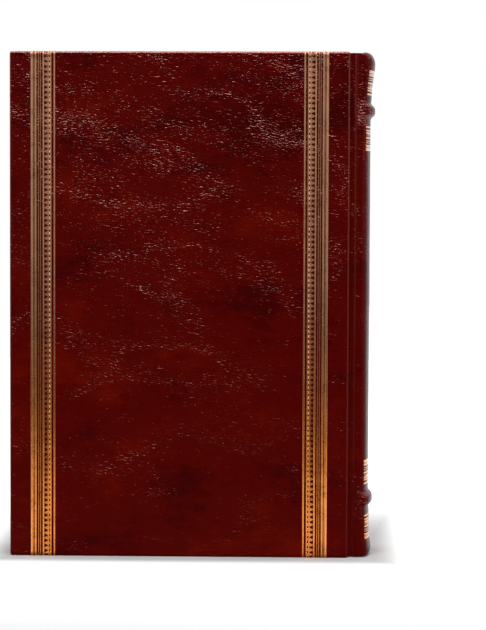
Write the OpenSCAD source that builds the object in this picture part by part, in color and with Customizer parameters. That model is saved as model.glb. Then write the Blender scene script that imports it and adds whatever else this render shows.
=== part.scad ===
// A hardback diary bound in full leather, standing upright on its tail with both covers closed.
// Width runs along X with the spine at +X, thickness along Y with the front cover at -Y, height along Z.
// The origin is at the middle of the foot of the closed book.

/* [Covers] */
// Height of a cover, tail to head
cover_h = 218; // [150:1:300]
// Width of a cover, fore edge to joint edge
cover_w = 146.3; // [100:0.1:220]
// Thickness of the millboard in a cover
board_t = 2; // [1.5:0.1:3]
// Thickness of the leather on the outside of a cover
skin_t = 0.8; // [0.6:0.1:1.2]
// Thickness of the pared turn-ins, and of the card between them
infill_t = 0.5; // [0.3:0.1:0.8]
// Width of the leather turned in round the inside of a cover
turn_in_w = 15; // [8:1:22]
// Thickness of a pasted-down endpaper
paste_t = 0.15; // [0.1:0.05:0.3]
// Strip of turned-in leather left showing round a pasted-down endpaper
paste_margin = 3.5; // [2:0.1:6]

/* [Pages] */
// Thickness of the pages, pressed together
block_t = 26.4; // [20:0.1:44]
// Width of the edge of a cover that stands out beyond the pages
ledge = 4; // [2.5:0.1:6]
// Thickness of a free endpaper
flyleaf_t = 0.2; // [0.1:0.05:0.3]
// Air between a closed cover and the free endpaper
closed_gap = 0.15; // [0.1:0.05:0.3]

/* [Spine] */
// How far the middle of the spine stands out beyond its two edges
spine_rise = 3; // [2.5:0.1:4.5]
// Thickness of the leather on the spine
spine_skin_t = 1; // [0.8:0.1:1.3]
// Thickness of the card lining under the spine leather
lining_t = 0.6; // [0.4:0.1:0.9]
// Thickness of the cloth glued to the backs of the pages
mull_t = 0.3; // [0.2:0.05:0.5]
// Width from a cover to the edge of the round of the spine
joint_w = 6.1; // [5.4:0.1:7.5]
// Width of the flat side of the spine, between its round and the open joint
side_w = 3.2; // [2.4:0.1:3.8]
// How far the leather of a joint lies below the edge of the spine
joint_drop = 0.75; // [0.5:0.05:1]

/* [Raised bands] */
// Height of a raised band above the spine
band_h = 2.1; // [1.2:0.1:2.6]
// Width of the strip under a raised band
band_core_w = 5.4; // [4.6:0.1:7]
// Distance of a raised band's middle from the end of the spine
band_place = 25; // [23:0.5:40]

/* [Caps and headbands] */
// How far the head cap stands out beyond the spine
head_flare = 1.9; // [1.2:0.1:2.1]
// How far the tail cap stands out beyond the spine
tail_flare = 1.4; // [1:0.1:2.1]
// Length of spine over which a cap flares out and rounds in again
cap_h = 7; // [5:0.1:7.2]
// Length of the leather turned in at each end of the spine
cap_turn_in = 12; // [9:0.5:20]
// Radius of the roll of a headband
headband_r = 0.8; // [0.5:0.05:0.9]
// Length of a headband's cloth tab down the backs of the pages
headband_tab = 9; // [6:0.5:14]

/* [Gilt roll] */
// Distance of a gilt roll from the edge of its cover
roll_margin = 9; // [7:0.1:14]
// Distance of a spine roll from the middle of its raised band
roll_gap = 6.6; // [5.6:0.1:8]
// Distance from one tooth of a roll to the next
tooth_pitch = 2.2; // [1.9:0.1:3]
// Width of a tooth at its base
tooth_w = 1.45; // [1:0.05:1.6]
// Length of a tooth
tooth_h = 1.45; // [1:0.05:1.6]
// Depth to which the gold is pressed into the leather
gilt_t = 0.1; // [0.05:0.05:0.2]
// Bare leather between a spine roll's end and the edge of the spine
roll_end_gap = 1.5; // [0.8:0.05:3]

/* [Hinges] */
// Depth of the hinge line below the outside of a cover
hinge_in = 0.8; // [0.6:0.1:1]
// Clearance between a fully opened cover and the edge of the spine
swing_gap = 0.4; // [0.3:0.05:0.6]
// Clearance between a closed cover and the leather of its joint
joint_gap = 0.3; // [0.2:0.05:0.5]

/* [Hidden] */
$fn = 128;
// Overshoot of a cutter past the face it opens
cut = 0.05;

// Layers of the closed book, as distances from the middle of its thickness
block_y = block_t / 2;
flyleaf_y = block_y + flyleaf_t;
paste_y = flyleaf_y + closed_gap;
infill_y = paste_y + paste_t;
board_y = infill_y + infill_t;
board_out_y = board_y + board_t;
cover_y = board_out_y + skin_t;
spine_y = cover_y - 2 * hinge_in - swing_gap;
joint_y = spine_y - joint_drop;

// Places along the width
overall_w = cover_w + joint_w + spine_rise + band_h;
fore_x = -overall_w / 2;
joint_x = fore_x + cover_w;
spine_edge_x = joint_x + joint_w;
spine_x = spine_edge_x + spine_rise;

// The round of the spine is one arc through its two edges and its middle
spine_r = (pow(spine_y, 2) + pow(spine_rise, 2)) / (2 * spine_rise);
arc_x = spine_x - spine_r;
skin_r = spine_r - spine_skin_t;
lining_r = skin_r - lining_t;
block_r = lining_r - mull_t;

// The pages: the hollow of the fore edge follows the round of the back
block_fore_x = fore_x + ledge;
block_back_x = arc_x + sqrt(pow(block_r, 2) - pow(block_y, 2));
fore_lip = 0.3;
fore_arc_x = arc_x - (block_back_x - block_fore_x) - fore_lip;
head_z = cover_h - ledge;

// Raised bands: the strip and the leather over it are arcs about one centre
band_core_r = (pow(band_core_w / 2, 2) + pow(band_h, 2)) / (2 * band_h);
band_centre_r = skin_r + band_h - band_core_r;
band_zs = [band_place, cover_h - band_place];
band_core_y = spine_y - 1.1;

// Caps: the leather stops just short of the ends of the covers
cap_short = 0.4;
cap_roof_t = 1;
cap_roof_in = 1.4;

// Headbands
headband_centre_r = block_r - headband_r - 0.1;
headband_y = block_y - 0.6;

// Bars of the gilt roll as [start, width], from its plain side to its inner side
roll_bars = [[0, 2.5], [2.9, 0.55], [4.05, 0.55], [5.1, 4], [9.9, 0.8]];
roll_w = 10.7;
tooth_start = 5.9;
roll_y = spine_y - roll_end_gap;
spine_tooth_turn = tooth_pitch / spine_r * 180 / PI;
spine_tooth_half = floor(roll_y / tooth_pitch);

leather_colour = "#5a0d08";
gilt_colour = "#c08a55";
board_colour = "#8a7a66";
paper_colour = "#efe6d2";
cloth_colour = "#d9d2c0";
silk_colour = "#b8483a";

// A flat piece of the front cover or endpapers, between two distances from the middle of the book
module front_slab(x0, x1, z0, z1, y0, y1) {
    translate([x0, -y1, z0])
        cube([x1 - x0, y1 - y0, z1 - z0]);
}

// The part of a shape within a distance from the middle of the spine's width
module within(half) {
    intersection() {
        children();
        translate([arc_x + spine_r / 3, -half, -cut])
            cube([spine_r, 2 * half, cover_h + 2 * cut]);
    }
}

// A section, drawn as distance from the arc's centre and height, swept round the spine
module round_spine() {
    translate([arc_x, 0, 0])
        rotate_extrude()
            children();
}

// A curved sheet on the back of the pages, between two radii and two heights
module back_sheet(r0, r1, z0, z1, half) {
    within(half)
        round_spine()
            translate([r0, z0])
                square([r1 - r0, z1 - z0]);
}

// One triangular tooth, pointing along +Y
module tooth() {
    polygon([[-tooth_w / 2, 0], [tooth_w / 2, 0], [0, tooth_h]]);
}

// The gilt roll laid flat: bars along Y, with a row of bare leather teeth in the widest one
module roll_flat(length) {
    teeth = floor(length / tooth_pitch);
    first = (length - (teeth - 1) * tooth_pitch) / 2;
    difference() {
        for (bar = roll_bars)
            translate([bar[0], 0])
                square([bar[1], length]);
        for (i = [0 : teeth - 1])
            translate([tooth_start, first + i * tooth_pitch])
                rotate(-90)
                    tooth();
    }
}

// A roll pressed into the front cover; side is 1 for the fore edge and -1 for the joint
module front_roll(side) {
    edge_x = side > 0 ? fore_x + roll_margin : joint_x - roll_margin;
    translate([edge_x, gilt_t - cover_y, 0])
        rotate([90, 0, 0])
            linear_extrude(gilt_t)
                mirror([side > 0 ? 0 : 1, 0])
                    roll_flat(cover_h);
}

// A roll pressed round the spine; side is 1 above its raised band and -1 below
module spine_roll(band_z, side) {
    far_z = band_z + side * (roll_gap + roll_w);
    difference() {
        within(roll_y)
            round_spine()
                for (bar = roll_bars)
                    translate([spine_r - gilt_t, side > 0 ? far_z - bar[0] - bar[1] : far_z + bar[0]])
                        square([gilt_t, bar[1]]);
        for (i = [-spine_tooth_half : spine_tooth_half])
            translate([arc_x, 0, far_z - side * tooth_start])
                rotate([0, 0, i * spine_tooth_turn])
                    translate([spine_r - 2 * gilt_t, 0, 0])
                        rotate([90, 0, 90])
                            linear_extrude(3 * gilt_t)
                                mirror([0, side > 0 ? 1 : 0])
                                    tooth();
    }
}

// Section of a raised band of a given radius, standing on the lining
module band_section(radius) {
    intersection() {
        translate([band_centre_r, 0])
            circle(r = radius);
        translate([skin_r, -radius])
            square([2 * radius, 2 * radius]);
    }
}

// Section of a flared cap at the foot of the spine, widest a little above its end
module cap_section(flare) {
    polygon([
        [skin_r, cap_short], [spine_r - 0.8 * spine_skin_t, cap_short],
        [spine_r + 0.1 * flare, 0.1 * cap_h], [spine_r + 0.6 * flare, 0.2 * cap_h],
        [spine_r + 0.9 * flare, 0.35 * cap_h], [spine_r + flare, 0.5 * cap_h],
        [spine_r + flare, 0.65 * cap_h], [spine_r, cap_h], [skin_r, cap_h]
    ]);
}

// Section of the leather turned in over the foot of the spine
module cap_turn_section() {
    translate([block_r - cap_roof_in + spine_skin_t, cap_short])
        square([skin_r - block_r + cap_roof_in - spine_skin_t + cut, cap_roof_t]);
    translate([lining_r, cap_short])
        square([lining_t + cut, cap_turn_in - cap_short]);
}

// A section drawn at the foot of the spine, moved to its head
module at_head() {
    translate([0, cover_h])
        mirror([0, 1])
            children();
}

// The leather in the joint beside the spine, and the flat side of the spine over it
module joint_section() {
    for (side = [0, 1])
        mirror([0, side]) {
            translate([joint_x + joint_gap, flyleaf_y])
                square([joint_w - joint_gap - 0.2, joint_y - flyleaf_y]);
            translate([spine_edge_x - side_w - 0.2, flyleaf_y])
                square([side_w, spine_y - flyleaf_y]);
        }
}

module text_block() {
    color(paper_colour)
        translate([0, 0, ledge])
            linear_extrude(head_z - ledge)
                difference() {
                    intersection() {
                        translate([block_fore_x, -block_y])
                            square([overall_w, block_t]);
                        union() {
                            translate([block_fore_x, -block_t])
                                square([arc_x - block_fore_x, 2 * block_t]);
                            translate([arc_x, 0])
                                circle(r = block_r);
                        }
                    }
                    translate([fore_arc_x, 0])
                        circle(r = block_r);
                }
}

module front_flyleaf() {
    color(paper_colour)
        front_slab(block_fore_x, block_back_x, ledge, head_z, block_y, flyleaf_y);
}

module back_flyleaf() {
    mirror([0, 1, 0])
        front_flyleaf();
}

module tailband() {
    tab_top = ledge + headband_tab;
    color(silk_colour)
        within(headband_y)
            round_spine() {
                translate([headband_centre_r, ledge - headband_r])
                    circle(r = headband_r);
                translate([headband_centre_r, ledge - headband_r])
                    square([lining_r - headband_centre_r, headband_r]);
                translate([block_r, ledge - headband_r])
                    square([mull_t, tab_top - ledge + headband_r]);
            }
}

module headband() {
    translate([0, 0, cover_h])
        mirror([0, 0, 1])
            tailband();
}

module spine_mull() {
    color(cloth_colour)
        back_sheet(block_r, lining_r, ledge + headband_tab, head_z - headband_tab, block_y);
}

module spine_lining() {
    color(board_colour)
        back_sheet(lining_r, skin_r, cap_turn_in, cover_h - cap_turn_in, flyleaf_y);
}

module band_core(z) {
    color(board_colour)
        within(band_core_y)
            round_spine()
                translate([0, z])
                    band_section(band_core_r);
}

module tail_band_core() {
    band_core(band_zs[0]);
}

module head_band_core() {
    band_core(band_zs[1]);
}

module spine_leather() {
    color(leather_colour)
        difference() {
            union() {
                within(spine_y)
                    round_spine() {
                        translate([skin_r, cap_short])
                            square([spine_skin_t, cover_h - 2 * cap_short]);
                        for (z = band_zs)
                            translate([0, z])
                                band_section(band_core_r + spine_skin_t);
                        cap_section(tail_flare);
                        at_head()
                            cap_section(head_flare);
                    }
                within(flyleaf_y)
                    round_spine() {
                        cap_turn_section();
                        at_head()
                            cap_turn_section();
                    }
                translate([0, 0, cap_short])
                    linear_extrude(cover_h - 2 * cap_short)
                        joint_section();
            }
            tail_band_core();
            head_band_core();
            for (z = band_zs)
                for (side = [-1, 1])
                    spine_roll(z, side);
        }
}

module spine_gilt_1() {
    color(gilt_colour)
        spine_roll(band_zs[0], -1);
}

module spine_gilt_2() {
    color(gilt_colour)
        spine_roll(band_zs[0], 1);
}

module spine_gilt_3() {
    color(gilt_colour)
        spine_roll(band_zs[1], -1);
}

module spine_gilt_4() {
    color(gilt_colour)
        spine_roll(band_zs[1], 1);
}

module front_board() {
    color(board_colour)
        front_slab(fore_x + skin_t, joint_x - skin_t, skin_t, cover_h - skin_t, board_y, board_out_y);
}

module front_infill() {
    color(board_colour)
        front_slab(fore_x + turn_in_w, joint_x - skin_t, turn_in_w, cover_h - turn_in_w, infill_y, board_y);
}

module front_leather() {
    color(leather_colour)
        difference() {
            front_slab(fore_x, joint_x, 0, cover_h, infill_y, cover_y);
            front_board();
            front_infill();
            front_roll(1);
            front_roll(-1);
        }
}

module front_pastedown() {
    color(paper_colour)
        front_slab(fore_x + paste_margin, joint_x, paste_margin, cover_h - paste_margin, paste_y, infill_y);
}

module front_gilt_fore() {
    color(gilt_colour)
        front_roll(1);
}

module front_gilt_joint() {
    color(gilt_colour)
        front_roll(-1);
}

module back_board() {
    mirror([0, 1, 0])
        front_board();
}

module back_infill() {
    mirror([0, 1, 0])
        front_infill();
}

module back_leather() {
    mirror([0, 1, 0])
        front_leather();
}

module back_pastedown() {
    mirror([0, 1, 0])
        front_pastedown();
}

module back_gilt_fore() {
    mirror([0, 1, 0])
        front_gilt_fore();
}

module back_gilt_joint() {
    mirror([0, 1, 0])
        front_gilt_joint();
}

text_block();
front_flyleaf();
back_flyleaf();
headband();
tailband();
spine_mull();
spine_lining();
spine_leather();
head_band_core();
tail_band_core();
spine_gilt_1();
spine_gilt_2();
spine_gilt_3();
spine_gilt_4();
front_board();
front_infill();
front_leather();
front_pastedown();
front_gilt_fore();
front_gilt_joint();
back_board();
back_infill();
back_leather();
back_pastedown();
back_gilt_fore();
back_gilt_joint();
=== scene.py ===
import bpy
import bmesh
import math
from functools import partial
from mathutils import Matrix, Vector, noise


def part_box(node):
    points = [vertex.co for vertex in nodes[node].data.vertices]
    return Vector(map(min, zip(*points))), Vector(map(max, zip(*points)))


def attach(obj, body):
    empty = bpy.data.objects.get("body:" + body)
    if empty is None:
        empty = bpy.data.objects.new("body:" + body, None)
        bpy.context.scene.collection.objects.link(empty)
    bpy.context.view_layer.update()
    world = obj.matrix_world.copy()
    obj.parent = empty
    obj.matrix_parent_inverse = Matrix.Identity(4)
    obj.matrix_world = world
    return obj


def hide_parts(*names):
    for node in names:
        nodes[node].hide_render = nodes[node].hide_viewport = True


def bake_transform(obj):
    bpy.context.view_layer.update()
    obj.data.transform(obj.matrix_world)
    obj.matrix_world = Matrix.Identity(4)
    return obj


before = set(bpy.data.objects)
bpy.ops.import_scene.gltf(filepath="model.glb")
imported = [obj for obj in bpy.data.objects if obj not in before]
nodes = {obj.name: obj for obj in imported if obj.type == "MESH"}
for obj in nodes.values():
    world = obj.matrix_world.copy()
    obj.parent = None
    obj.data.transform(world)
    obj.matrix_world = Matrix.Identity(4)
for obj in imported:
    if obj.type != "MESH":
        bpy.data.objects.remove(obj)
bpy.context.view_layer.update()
mm = 0.001

# Places taken from the frame, in metres
coverLow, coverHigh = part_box("front_leather")
boardLow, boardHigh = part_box("front_board")
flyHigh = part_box("front_flyleaf")[1]
pagesLow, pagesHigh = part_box("text_block")
foreX, jointX, coverH = coverLow[0], coverHigh[0], coverHigh[2]
outY, inY = -coverLow[1], -coverHigh[1]  # distances from the middle of the book
boardInY, boardOutY = -boardHigh[1], -boardLow[1]


# helpers


def hexColour(code):
    parts = [int(code[i:i + 2], 16) / 255 for i in (1, 3, 5)]
    return tuple(p / 12.92 if p < 0.04045 else ((p + 0.055) / 1.055) ** 2.4 for p in parts) + (1.0,)


def smooth(low, high, value):
    t = min(max((value - low) / (high - low), 0), 1)
    return t * t * (3 - 2 * t)


def between(table, value):  # straight lines through a list of (place, height)
    for (a, ha), (b, hb) in zip(table, table[1:]):
        if value <= b:
            return ha + (hb - ha) * max(value - a, 0) / (b - a)
    return table[-1][1]


def steps(low, high, step):  # evenly spaced places from low to high
    count = max(1, round((high - low) / step))
    return [low + (high - low) * i / count for i in range(count + 1)]


def setSockets(tree, node, values):  # a link where the value is another socket, else the value itself
    for socket, value in values.items():
        if isinstance(value, bpy.types.NodeSocket):
            tree.links.new(value, node.inputs[socket])
        else:
            node.inputs[socket].default_value = value


def addNode(tree, kind, values=None, **settings):
    node = tree.nodes.new(kind)
    for name, value in settings.items():
        setattr(node, name, value)
    setSockets(tree, node, values or {})
    return node


def addObject(name, data):
    made = bpy.data.objects.new(name, data)
    bpy.context.scene.collection.objects.link(made)
    return made


def makePiece(name, verts, faces, material, sharp=40):
    mesh = bpy.data.meshes.new(name)
    mesh.from_pydata(verts, [], faces)
    bm = bmesh.new()
    bm.from_mesh(mesh)
    bmesh.ops.recalc_face_normals(bm, faces=bm.faces)
    bm.to_mesh(mesh)
    bm.free()
    mesh.polygons.foreach_set("use_smooth", [True] * len(mesh.polygons))
    mesh.set_sharp_from_angle(angle=math.radians(sharp))
    mesh.materials.append(material)
    return addObject(name, mesh)


# materials


def newMaterial(name):
    material = bpy.data.materials.new(name)
    material.use_nodes = True
    tree = material.node_tree
    tree.nodes.clear()
    shader = addNode(tree, "ShaderNodeBsdfPrincipled")
    addNode(tree, "ShaderNodeOutputMaterial", {"Surface": shader.outputs["BSDF"]})
    place = addNode(tree, "ShaderNodeTexCoord", object=None).outputs["Object"]
    inMm = addNode(tree, "ShaderNodeMapping", {"Vector": place, "Scale": (1000, 1000, 1000)})
    return material, tree, shader, inMm.outputs["Vector"]


def stretched(tree, vector, scale):
    return addNode(tree, "ShaderNodeMapping", {"Vector": vector, "Scale": scale}).outputs["Vector"]


def noiseAt(tree, vector, perMm, detail=2, rough=0.5):
    node = addNode(tree, "ShaderNodeTexNoise", {
        "Vector": vector, "Scale": perMm, "Detail": detail, "Roughness": rough})
    return node.outputs["Fac"]


def ranged(tree, value, low, high, toLow=0.0, toHigh=1.0, kind="SMOOTHSTEP"):
    node = addNode(tree, "ShaderNodeMapRange", {
        "Value": value, "From Min": low, "From Max": high, "To Min": toLow, "To Max": toHigh},
        interpolation_type=kind)
    return node.outputs["Result"]


def maths(tree, kind, a, b=0.0, c=0.0):
    return addNode(tree, "ShaderNodeMath", {0: a, 1: b, 2: c}, operation=kind).outputs[0]


def combined(tree, x, y, z=0.0):
    return addNode(tree, "ShaderNodeCombineXYZ", {"X": x, "Y": y, "Z": z}).outputs[0]


def axisOf(tree, vector, axis):
    return addNode(tree, "ShaderNodeSeparateXYZ", {0: vector}).outputs[axis]


def leant(tree, vector, degrees):  # turned about Y
    return addNode(tree, "ShaderNodeMapping", {
        "Vector": vector, "Rotation": (0, math.radians(degrees), 0)}).outputs["Vector"]


def mixed(tree, factor, a, b):
    return addNode(tree, "ShaderNodeMix", {"Factor": factor, 6: a, 7: b}, data_type="RGBA").outputs[2]


def bumped(tree, height, depthMm, normal=None):
    values = {"Height": height, "Distance": depthMm * mm, "Strength": 1.0}
    if normal is not None:
        values["Normal"] = normal
    return addNode(tree, "ShaderNodeBump", values).outputs["Normal"]


leatherLook = {
    "deep": "#360000", "skin": "#470200", "warm": "#570700",
    "mottleMm": 26, "fineMottleMm": 3.0,
    "roughness": 0.24, "specular": 0.022, "coatIor": 1.8, "coatRoughness": 0.13,
    "wrinkleMm": 0.52, "wrinkleLong": 0.26, "wrinkleDepthMm": 0.37, "slopeMm": 0.13,
    "creaseMm": 5.5, "creaseDepthMm": 0.06, "driftMm": 12, "seamMm": 30, "driftAngle": -17,
    "wrinkleAngle": -7, "paintedHighlight": "#B44634", "paintedHighlightShare": 0.65, "coatAndHighlight": 0.8, "faint": 0.25,
    "poreMm": 0.4, "poreDepthMm": 0.005, "warpMm": 4.5, "warpPerMm": 0.07,
    "middleMm": 108.9, "bandMm": 84.2,  # the bands lie this far above and below the middle
}


def onArris(tree, facing):  # one where a rounded edge turns away, none on the flats either side of it
    return maths(tree, "MULTIPLY", ranged(tree, facing, 0.22, 0.5), ranged(tree, facing, 0.86, 0.98, 1, 0))


def leatherSkin(name, look, arris=1.0, gather=0.0):
    # Bonded calf leather, dyed through and plated: deep, uneven red, with fine wrinkles that lie
    # across the cover in drifts; their polished upper sides flash where they face the light, and a highlight is
    # painted into their colour as well
    material, tree, shader, place = newMaterial(name)
    calc = partial(maths, tree)
    warp = addNode(tree, "ShaderNodeTexNoise", {"Vector": place, "Scale": look["warpPerMm"], "Detail": 2})
    bent = addNode(tree, "ShaderNodeVectorMath", {
        0: warp.outputs["Color"], 1: (look["warpMm"],) * 3, 2: place}, operation="MULTIPLY_ADD").outputs[0]

    # colour
    slow = noiseAt(tree, stretched(tree, bent, (0.7, 0.7, 1)), 1 / look["mottleMm"], 3, 0.5)
    quick = noiseAt(tree, stretched(tree, bent, (0.5, 0.5, 1)), 1 / look["fineMottleMm"], 3, 0.6)
    upward = axisOf(tree, place, "Z")
    height = ranged(tree, upward, 10, 205, 0, 1, "LINEAR")
    tone = calc("MULTIPLY_ADD", quick, 0.3, calc("MULTIPLY", slow, 0.7))
    # painted shade: the colour darkens toward the head
    tone = calc("MULTIPLY_ADD", height, -0.06, calc("ADD", tone, 0.035))
    lower = mixed(tree, ranged(tree, tone, 0.36, 0.5), hexColour(look["deep"]), hexColour(look["skin"]))
    colour = mixed(tree, ranged(tree, tone, 0.53, 0.72), lower, hexColour(look["warm"]))

    # where the wrinkles gather: slanting drifts, more of them toward the head
    slant = leant(tree, bent, look["driftAngle"])
    drift = noiseAt(tree, stretched(tree, slant, (0.42, 0.42, 1)), 1 / look["driftMm"], 4, 0.65)
    seam = noiseAt(tree, stretched(tree, slant, (0.45, 0.45, 1)), 1 / look["seamMm"], 1, 0.5)
    seam = ranged(tree, calc("ABSOLUTE", calc("SUBTRACT", seam, 0.5)), 0, 0.06, 1, 0)
    rise = calc("MULTIPLY_ADD", seam, 0.14, calc("MULTIPLY", drift, 0.62))
    rise = calc("MULTIPLY_ADD", height, 0.16, rise)
    if gather:  # and where the skin was worked in round the ends of the raised bands
        offMiddle = calc("ABSOLUTE", calc("SUBTRACT", upward, look["middleMm"]))
        offBand = calc("ABSOLUTE", calc("SUBTRACT", offMiddle, look["bandMm"]))
        atSide = ranged(tree, calc("ABSOLUTE", axisOf(tree, place, "Y")), 11.5, 13.8)
        rise = calc("ADD", rise, calc("MULTIPLY", atSide, ranged(tree, offBand, 3, 9, gather, 0)))

    # the wrinkles: short low folds, and the same folds a little higher up, for their slope
    long = look["wrinkleLong"]
    lie = leant(tree, bent, look["wrinkleAngle"])
    folds = noiseAt(tree, stretched(tree, lie, (long, long, 1)), 1 / look["wrinkleMm"], 2, 0.5)
    above = addNode(tree, "ShaderNodeVectorMath", {0: lie, 1: (0, 0, look["slopeMm"])}).outputs[0]
    higher = noiseAt(tree, stretched(tree, above, (long, long, 1)), 1 / look["wrinkleMm"], 2, 0.5)
    slope = calc("SUBTRACT", folds, higher)
    wrinkles = calc("MULTIPLY", folds, ranged(tree, rise, 0.32, 0.58, look["faint"], 1))
    ridge = noiseAt(tree, stretched(tree, slant, (0.4, 0.4, 1)), 1 / look["creaseMm"], 4, 0.65)
    line = ranged(tree, calc("ABSOLUTE", calc("SUBTRACT", ridge, 0.5)), 0, 0.03)
    crease = calc("MULTIPLY", line, ranged(tree, rise, 0.56, 0.7, 0.05, 1))
    pores = noiseAt(tree, place, 1 / look["poreMm"], 2)
    normal = bumped(tree, wrinkles, look["wrinkleDepthMm"])
    normal = bumped(tree, crease, look["creaseDepthMm"], normal)
    normal = bumped(tree, pores, look["poreDepthMm"], normal)

    # the coat is thickest on the upper sides of the wrinkles, where the plate never pressed it flat, and on the
    # rounded edges that face up, or to the side more toward the head; the same mask paints a highlight into the
    # base colour there
    coatAndHighlight = ranged(tree, calc("MULTIPLY_ADD", rise, 0.38, slope), 0.3, 0.37)
    facing = addNode(tree, "ShaderNodeTexCoord").outputs["Normal"]
    upper = onArris(tree, axisOf(tree, facing, "Z"))
    aside = onArris(tree, calc("ABSOLUTE", axisOf(tree, facing, "X")))
    aside = calc("MULTIPLY", aside, calc("MULTIPLY_ADD", height, 0.24, 0.06))
    coatAndHighlight = calc("MAXIMUM", coatAndHighlight, calc("MULTIPLY", calc("MAXIMUM", upper, aside), arris))
    # painted highlight: the base colour turns pink-red where the coat mask lies
    colour = mixed(tree, calc("MULTIPLY", coatAndHighlight, look["paintedHighlightShare"]), colour, hexColour(look["paintedHighlight"]))
    setSockets(tree, shader, {
        "Base Color": colour, "Normal": normal, "Coat Normal": normal,
        "Coat Weight": calc("MULTIPLY", coatAndHighlight, look["coatAndHighlight"]),
        "Roughness": calc("MULTIPLY_ADD", quick, 0.1, look["roughness"] - 0.05),
        "Specular IOR Level": look["specular"], "Coat IOR": look["coatIor"],
        "Coat Roughness": look["coatRoughness"]})
    return material


# foot and head are the two ends of a painted reflection, red-orange low on the book and pale high up
giltLook = {
    "foot": "#EA924A", "head": "#D8A07A", "tarnish": "#602808", "skin": "#5A1B08",
    "roughness": 0.07, "flakeMm": 0.45, "patchMm": 6, "brushMm": 0.3, "depthMm": 0.004,
    "redToMm": 40, "paleFromMm": 125,
}


def giltFoil(name, look):
    # Blocked gold foil: a thin bright film that takes the grain of the leather under it,
    # rubbed in flecks, duller in the hollows of the roll, with a painted reflection that runs from pale at the
    # head to red-orange at the foot
    material, tree, shader, place = newMaterial(name)
    wear = addNode(tree, "ShaderNodeAttribute", attribute_name="wear").outputs["Fac"]
    flake = noiseAt(tree, place, 1 / look["flakeMm"], 3, 0.6)
    patch = noiseAt(tree, place, 1 / look["patchMm"], 3, 0.6)
    loss = maths(tree, "MULTIPLY_ADD", patch, 0.4, maths(tree, "MULTIPLY", flake, 0.6))
    # painted reflection: the gold's colour changes with height on the book
    paintedReflection = ranged(tree, axisOf(tree, place, "Z"), look["redToMm"], look["paleFromMm"])
    reflectedGold = mixed(tree, paintedReflection, hexColour(look["foot"]), hexColour(look["head"]))
    dull = maths(tree, "MULTIPLY_ADD", wear, 0.75, ranged(tree, loss, 0.46, 0.66, 0, 0.45))
    metal = mixed(tree, dull, reflectedGold, hexColour(look["tarnish"]))
    bare = ranged(tree, maths(tree, "MULTIPLY_ADD", wear, 0.1, loss), 0.66, 0.74, 0, 0.8)
    colour = mixed(tree, bare, metal, hexColour(look["skin"]))
    grain = noiseAt(tree, stretched(tree, place, (0.5, 0.5, 1)), 1 / look["brushMm"], 2)
    setSockets(tree, shader, {
        "Base Color": colour, "Metallic": maths(tree, "SUBTRACT", 1, bare),
        "Roughness": maths(tree, "MULTIPLY_ADD", dull, 0.12, look["roughness"]),
        "Normal": bumped(tree, grain, look["depthMm"])})
    return material


paperLook = {"sheet": "#EFE4CB", "shade": "#E4D6B9", "edge": "#E8DABA", "gap": "#A8916B", "leafMm": 0.11}


def pageEdges(name, look):
    # Wove book paper, cut by guillotine: the sides of the leaves show as fine uneven lines
    material, tree, shader, place = newMaterial(name)
    leaves = noiseAt(tree, stretched(tree, place, (0.02, 1, 0.02)), 1 / (look["leafMm"] * 2), 3, 0.7)
    sections = noiseAt(tree, stretched(tree, place, (0.004, 1, 0.004)), 0.55, 2)
    tone = maths(tree, "MULTIPLY_ADD", sections, 0.5, maths(tree, "MULTIPLY", leaves, 0.6))
    colour = mixed(tree, ranged(tree, tone, 0.36, 0.7), hexColour(look["gap"]), hexColour(look["edge"]))
    setSockets(tree, shader, {"Base Color": colour, "Normal": bumped(tree, leaves, 0.05), "Roughness": 0.85})
    return material


def sheetPaper(name, look):
    # Laid endpaper: matt, faintly ribbed by the mould, with scattered fibres
    material, tree, shader, place = newMaterial(name)
    cloud = noiseAt(tree, place, 0.06, 4, 0.6)
    fibre = noiseAt(tree, stretched(tree, place, (1, 1, 0.35)), 1.6, 4, 0.7)
    tone = maths(tree, "MULTIPLY_ADD", fibre, 0.35, maths(tree, "MULTIPLY", cloud, 0.6))
    colour = mixed(tree, ranged(tree, tone, 0.3, 0.65), hexColour(look["shade"]), hexColour(look["sheet"]))
    ribs = addNode(tree, "ShaderNodeTexWave", {"Vector": place, "Scale": 0.35, "Distortion": 0.6, "Detail": 1},
                   bands_direction="Z").outputs["Fac"]
    normal = bumped(tree, fibre, 0.02, bumped(tree, ribs, 0.012))
    setSockets(tree, shader, {"Base Color": colour, "Normal": normal, "Roughness": 0.8})
    return material


def sewingSilk(name):
    # Spun silk thread: a soft sheen along the strand, two colours wound in turn
    material, tree, shader, place = newMaterial(name)
    turn = addNode(tree, "ShaderNodeAttribute", attribute_name="turn").outputs["Fac"]
    strand = noiseAt(tree, place, 6, 2)
    colour = mixed(tree, turn, hexColour("#8E1712"), hexColour("#E2CFA2"))
    setSockets(tree, shader, {
        "Base Color": colour, "Normal": bumped(tree, strand, 0.03), "Roughness": 0.5, "Sheen Weight": 0.4})
    return material


def mullCloth(name):
    # Open cotton gauze stiffened with glue
    material, tree, shader, place = newMaterial(name)
    across = addNode(tree, "ShaderNodeTexWave", {"Vector": place, "Scale": 0.5}, bands_direction="Z")
    along = addNode(tree, "ShaderNodeTexWave", {"Vector": place, "Scale": 0.5}, bands_direction="Y")
    weave = maths(tree, "MAXIMUM", across.outputs["Fac"], along.outputs["Fac"])
    colour = mixed(tree, weave, hexColour("#B9A988"), hexColour("#DDD3BC"))
    setSockets(tree, shader, {"Base Color": colour, "Normal": bumped(tree, weave, 0.1), "Roughness": 0.9})
    return material


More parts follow.
